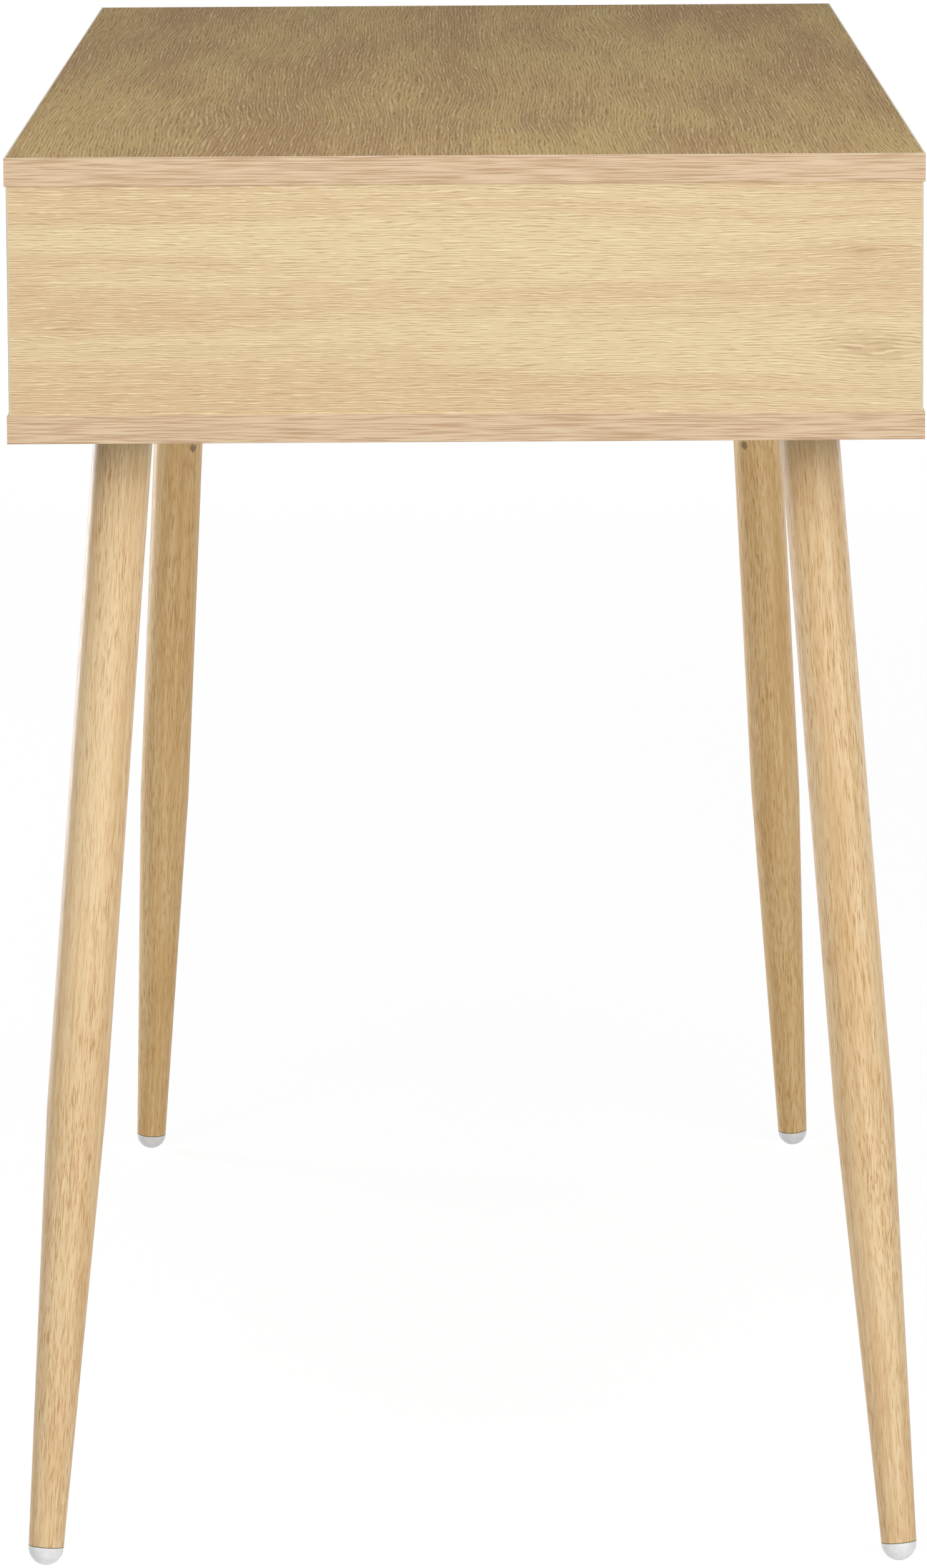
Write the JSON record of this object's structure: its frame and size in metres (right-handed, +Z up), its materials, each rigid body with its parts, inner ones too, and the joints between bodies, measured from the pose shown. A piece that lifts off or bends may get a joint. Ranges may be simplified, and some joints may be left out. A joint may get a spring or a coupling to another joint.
{
  "type": "writing desk",
  "caption": "Rectangular writing desk: a shallow case with inset drawers on roller runners, standing on splayed round tapered legs with plastic feet.",
  "frame": {"origin": "middle of the desk's footprint box, on the floor", "axes": "+X along the desk to the right-hand end as seen from the drawer side, -Y towards the person at the drawers, +Z up"},
  "size_m": [1.2, 0.48, 0.76],
  "materials": {
    "oak_laminate": "matt light oak laminate, lightly embossed",
    "edge_band": "matt light oak edge band",
    "leg_film": "oak-look film on steel tube, satin",
    "foot_plastic": "moulded white plastic, satin",
    "plate_steel": "black powder coat",
    "drawer_board": "matt light laminate",
    "drawer_base": "thin board, printed oak on top",
    "runner_steel": "cream epoxy coat",
    "roller_nylon": "moulded nylon",
    "zinc": "bright zinc plate",
    "dowel_wood": "plain beech"
  },
  "bodies": {
    "desk": {"top_board": "oak_laminate", "bottom_board": "oak_laminate", "left_side_panel": "oak_laminate", "right_side_panel": "oak_laminate", "centre_divider": "oak_laminate", "back_panel": "oak_laminate", "top_edge_bands": "edge_band", "bottom_edge_bands": "edge_band", "panel_edge_bands": "edge_band", "cam_bolts": "zinc", "cam_locks": "zinc", "dowels": "dowel_wood", "case_screws": "zinc", "front_left_leg": "leg_film", "front_right_leg": "leg_film", "rear_left_leg": "leg_film", "rear_right_leg": "leg_film", "front_left_leg_plate": "plate_steel", "front_right_leg_plate": "plate_steel", "rear_left_leg_plate": "plate_steel", "rear_right_leg_plate": "plate_steel", "front_left_foot": "foot_plastic", "front_right_foot": "foot_plastic", "rear_left_foot": "foot_plastic", "rear_right_foot": "foot_plastic", "leg_plate_screws": "zinc", "left_bay_left_runner": "runner_steel", "left_bay_right_runner": "runner_steel", "right_bay_left_runner": "runner_steel", "right_bay_right_runner": "runner_steel", "case_roller_rivets": "zinc", "case_runner_screws": "zinc"},
    "left_drawer": {"left_drawer_front": "oak_laminate", "left_drawer_left_side": "drawer_board", "left_drawer_right_side": "drawer_board", "left_drawer_back": "drawer_board", "left_drawer_bottom": "drawer_base", "left_drawer_left_runner": "runner_steel", "left_drawer_right_runner": "runner_steel", "left_drawer_roller_rivets": "zinc", "left_drawer_fixings": "zinc"},
    "right_drawer": {"right_drawer_front": "oak_laminate", "right_drawer_left_side": "drawer_board", "right_drawer_right_side": "drawer_board", "right_drawer_back": "drawer_board", "right_drawer_bottom": "drawer_base", "right_drawer_left_runner": "runner_steel", "right_drawer_right_runner": "runner_steel", "right_drawer_roller_rivets": "zinc", "right_drawer_fixings": "zinc"},
    "left_bay_left_front_roller": {"left_bay_left_front_roller": "roller_nylon"},
    "left_bay_right_front_roller": {"left_bay_right_front_roller": "roller_nylon"},
    "right_bay_left_front_roller": {"right_bay_left_front_roller": "roller_nylon"},
    "right_bay_right_front_roller": {"right_bay_right_front_roller": "roller_nylon"},
    "left_drawer_left_rear_roller": {"left_drawer_left_rear_roller": "roller_nylon"},
    "left_drawer_right_rear_roller": {"left_drawer_right_rear_roller": "roller_nylon"},
    "right_drawer_left_rear_roller": {"right_drawer_left_rear_roller": "roller_nylon"},
    "right_drawer_right_rear_roller": {"right_drawer_right_rear_roller": "roller_nylon"}
  },
  "joints": [
    {"name": "left_drawer_slide", "type": "slide", "parent": "desk", "child": "left_drawer", "axis": [0, -1, 0], "range_m": [0, 0.3]},
    {"name": "right_drawer_slide", "type": "slide", "parent": "desk", "child": "right_drawer", "axis": [0, -1, 0], "range_m": [0, 0.3]},
    {"name": "left_bay_left_front_roller_spin", "type": "hinge", "parent": "desk", "child": "left_bay_left_front_roller", "pos_m": [-0.5786, -0.208, 0.642], "axis": [1, 0, 0], "range_deg": [0, 2291.83]},
    {"name": "left_bay_right_front_roller_spin", "type": "hinge", "parent": "desk", "child": "left_bay_right_front_roller", "pos_m": [-0.0129, -0.208, 0.642], "axis": [1, 0, 0], "range_deg": [0, 2291.83]},
    {"name": "right_bay_left_front_roller_spin", "type": "hinge", "parent": "desk", "child": "right_bay_left_front_roller", "pos_m": [0.0129, -0.208, 0.642], "axis": [1, 0, 0], "range_deg": [0, 2291.83]},
    {"name": "right_bay_right_front_roller_spin", "type": "hinge", "parent": "desk", "child": "right_bay_right_front_roller", "pos_m": [0.5786, -0.208, 0.642], "axis": [1, 0, 0], "range_deg": [0, 2291.83]},
    {"name": "left_drawer_left_rear_roller_spin", "type": "hinge", "parent": "left_drawer", "child": "left_drawer_left_rear_roller", "pos_m": [-0.5781, 0.1672, 0.6435], "axis": [1, 0, 0], "range_deg": [0, 1909.86]},
    {"name": "left_drawer_right_rear_roller_spin", "type": "hinge", "parent": "left_drawer", "child": "left_drawer_right_rear_roller", "pos_m": [-0.0134, 0.1672, 0.6435], "axis": [1, 0, 0], "range_deg": [0, 1909.86]},
    {"name": "right_drawer_left_rear_roller_spin", "type": "hinge", "parent": "right_drawer", "child": "right_drawer_left_rear_roller", "pos_m": [0.0134, 0.1672, 0.6435], "axis": [1, 0, 0], "range_deg": [0, 1909.86]},
    {"name": "right_drawer_right_rear_roller_spin", "type": "hinge", "parent": "right_drawer", "child": "right_drawer_right_rear_roller", "pos_m": [0.5781, 0.1672, 0.6435], "axis": [1, 0, 0], "range_deg": [0, 1909.86]}
  ],
  "couplings": [
    {"joint": "left_bay_left_front_roller_spin", "follows": "left_drawer_slide", "rad_per_m": 133.33},
    {"joint": "left_bay_right_front_roller_spin", "follows": "left_drawer_slide", "rad_per_m": 133.33},
    {"joint": "right_bay_left_front_roller_spin", "follows": "right_drawer_slide", "rad_per_m": 133.33},
    {"joint": "right_bay_right_front_roller_spin", "follows": "right_drawer_slide", "rad_per_m": 133.33},
    {"joint": "left_drawer_left_rear_roller_spin", "follows": "left_drawer_slide", "rad_per_m": 111.11},
    {"joint": "left_drawer_right_rear_roller_spin", "follows": "left_drawer_slide", "rad_per_m": 111.11},
    {"joint": "right_drawer_left_rear_roller_spin", "follows": "right_drawer_slide", "rad_per_m": 111.11},
    {"joint": "right_drawer_right_rear_roller_spin", "follows": "right_drawer_slide", "rad_per_m": 111.11}
  ]
}
